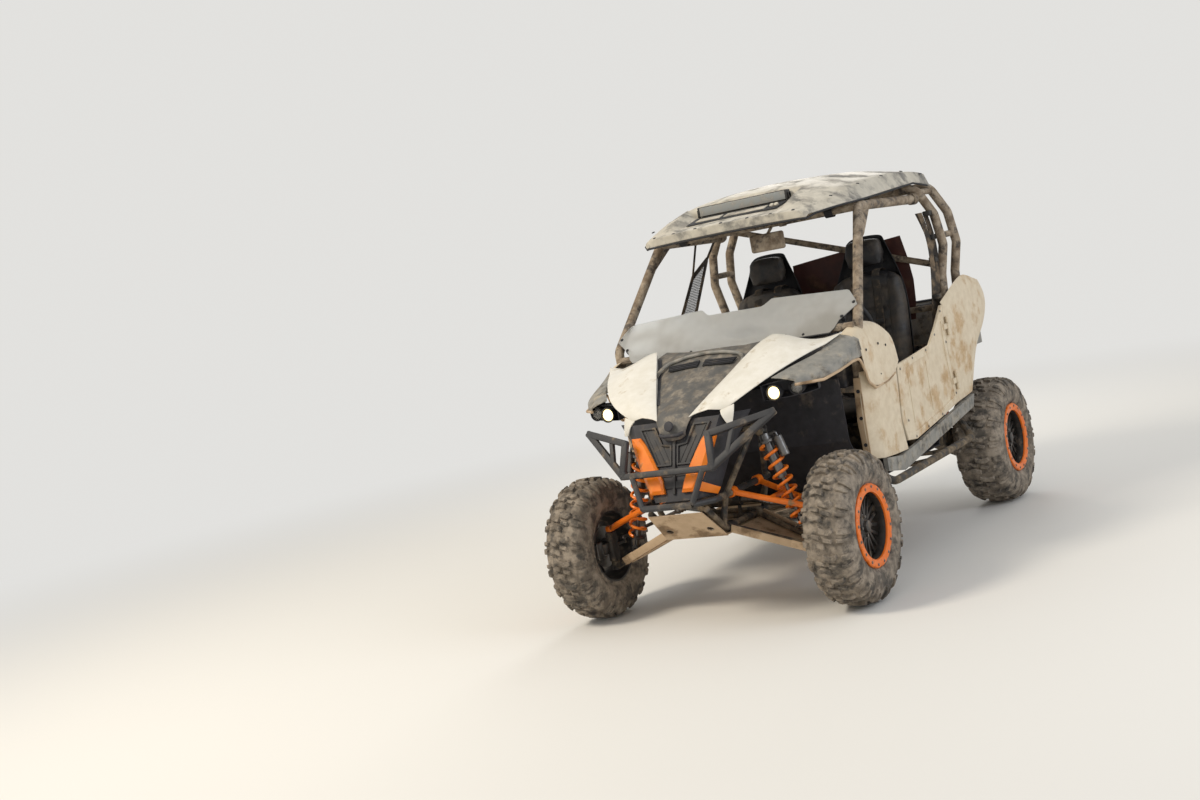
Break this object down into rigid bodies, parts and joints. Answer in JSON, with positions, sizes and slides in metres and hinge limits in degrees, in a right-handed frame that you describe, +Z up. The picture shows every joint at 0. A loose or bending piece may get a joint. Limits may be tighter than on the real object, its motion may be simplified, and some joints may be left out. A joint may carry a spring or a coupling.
{
  "type": "side-by-side off-road vehicle",
  "caption": "Two-seat side-by-side off-road vehicle with a roll cage, roof with a lamp bar, half windscreen, half doors and a cargo bed, on long-travel suspension and beadlock wheels.",
  "frame": {"origin": "on the ground, midway between the axles, on the centre plane", "axes": "+Z up, +Y towards the tail, the nose points along -Y, +X is the vehicle's left side"},
  "size_m": [1.6258, 3.0013, 2.01],
  "materials": {
    "tyre_rubber": "matt, muddy",
    "rim_enamel": "satin black",
    "ring_orange": "satin",
    "cast_iron": "cast",
    "arm_orange": "powder coat",
    "frame_enamel": "powder coat, muddy",
    "steel": "worn",
    "guard_tan": "muddy",
    "damper": "anodised",
    "spring_orange": "powder coat",
    "cage_enamel": "mud-caked",
    "bumper_enamel": "textured powder coat",
    "dark_plastic": "grained",
    "accent_orange": "gloss",
    "body_white": "moulded, dusty",
    "body_grey": "muddy",
    "roof_grey": "muddy",
    "grip_black": "grained",
    "seat_vinyl": "grained vinyl",
    "clear_sheet": "dusty polycarbonate",
    "lamp_glass": "clear lens",
    "lamp_bar": "black housing, clear lens",
    "tail_red": "lens",
    "engine_alloy": "cast",
    "exhaust_steel": "heat-stained"
  },
  "bodies": {
    "chassis": {"upper_arms": "arm_orange", "frame_front": "frame_enamel", "lower_arms": "frame_enamel", "frame_lower": "frame_enamel", "trailing_arms": "frame_enamel", "radius_rods": "frame_enamel", "half_shafts": "steel", "arm_guards": "guard_tan", "skid_plate": "guard_tan", "belly_plate": "guard_tan", "shocks": "damper", "coil_springs": "spring_orange", "front_cage": "cage_enamel", "main_hoop": "cage_enamel", "rear_hoop": "cage_enamel", "side_bars": "cage_enamel", "rear_bumper": "cage_enamel", "front_bumper": "bumper_enamel", "front_fascia": "dark_plastic", "hood_center": "dark_plastic", "floor_tub": "dark_plastic", "dash": "dark_plastic", "seat_bases": "dark_plastic", "cabin_mirror": "dark_plastic", "cargo_bed": "dark_plastic", "lamp_pods": "dark_plastic", "bumper_accents": "accent_orange", "hood_wings": "body_white", "side_panels": "body_white", "quarter_panels": "body_white", "fenders": "body_grey", "rocker_panels": "body_grey", "roof": "roof_grey", "seats": "seat_vinyl", "windscreen": "clear_sheet", "headlamps": "lamp_glass", "light_bar": "lamp_bar", "tail_lamps": "tail_red", "engine_block": "engine_alloy", "muffler": "exhaust_steel"},
    "knuckle_left": {"knuckle_left": "cast_iron"},
    "knuckle_right": {"knuckle_right": "cast_iron"},
    "wheel_fl": {"tyre_fl": "tyre_rubber", "rim_fl": "rim_enamel", "ring_fl": "ring_orange"},
    "wheel_fr": {"tyre_fr": "tyre_rubber", "rim_fr": "rim_enamel", "ring_fr": "ring_orange"},
    "wheel_rl": {"tyre_rl": "tyre_rubber", "rim_rl": "rim_enamel", "ring_rl": "ring_orange"},
    "wheel_rr": {"tyre_rr": "tyre_rubber", "rim_rr": "rim_enamel", "ring_rr": "ring_orange"},
    "door_left": {"door_left": "body_white"},
    "door_right": {"door_right": "body_white"},
    "steering_wheel": {"steering_wheel": "grip_black"},
    "steering_rack": {"steering_rack": "steel"}
  },
  "joints": [
    {"name": "steer_left", "type": "hinge", "parent": "chassis", "child": "knuckle_left", "pos_m": [0.61, -1.07, 0.356], "axis": [0, 0, 1], "range_deg": [-32, 32]},
    {"name": "steer_right", "type": "hinge", "parent": "chassis", "child": "knuckle_right", "pos_m": [-0.61, -1.07, 0.356], "axis": [0, 0, 1], "range_deg": [-32, 32]},
    {"name": "steering_rack", "type": "slide", "parent": "chassis", "child": "steering_rack", "axis": [1, 0, 0], "range_m": [-0.057, 0.057]},
    {"name": "steering_wheel", "type": "hinge", "parent": "chassis", "child": "steering_wheel", "pos_m": [0.3, 0.09, 1.19], "axis": [0, 0.9252, 0.3796], "range_deg": [-256, 256]},
    {"name": "wheel_fl", "type": "hinge", "parent": "knuckle_left", "child": "wheel_fl", "pos_m": [0.698, -1.07, 0.356], "axis": [1, 0, 0], "continuous": true},
    {"name": "wheel_fr", "type": "hinge", "parent": "knuckle_right", "child": "wheel_fr", "pos_m": [-0.698, -1.07, 0.356], "axis": [1, 0, 0], "continuous": true},
    {"name": "wheel_rl", "type": "hinge", "parent": "chassis", "child": "wheel_rl", "pos_m": [0.673, 1.07, 0.356], "axis": [1, 0, 0], "continuous": true},
    {"name": "wheel_rr", "type": "hinge", "parent": "chassis", "child": "wheel_rr", "pos_m": [-0.673, 1.07, 0.356], "axis": [1, 0, 0], "continuous": true},
    {"name": "door_left", "type": "hinge", "parent": "chassis", "child": "door_left", "pos_m": [0.728, 0.492, 0.9], "axis": [0, 0, 1], "range_deg": [0, 70]},
    {"name": "door_right", "type": "hinge", "parent": "chassis", "child": "door_right", "pos_m": [-0.728, 0.492, 0.9], "axis": [0, 0, -1], "range_deg": [0, 70]}
  ],
  "couplings": [
    {"joint": "steer_right", "follows": "steer_left", "ratio": 1},
    {"joint": "steering_rack", "follows": "steer_left", "m_per_rad": -0.1},
    {"joint": "steering_wheel", "follows": "steer_left", "ratio": 8}
  ]
}
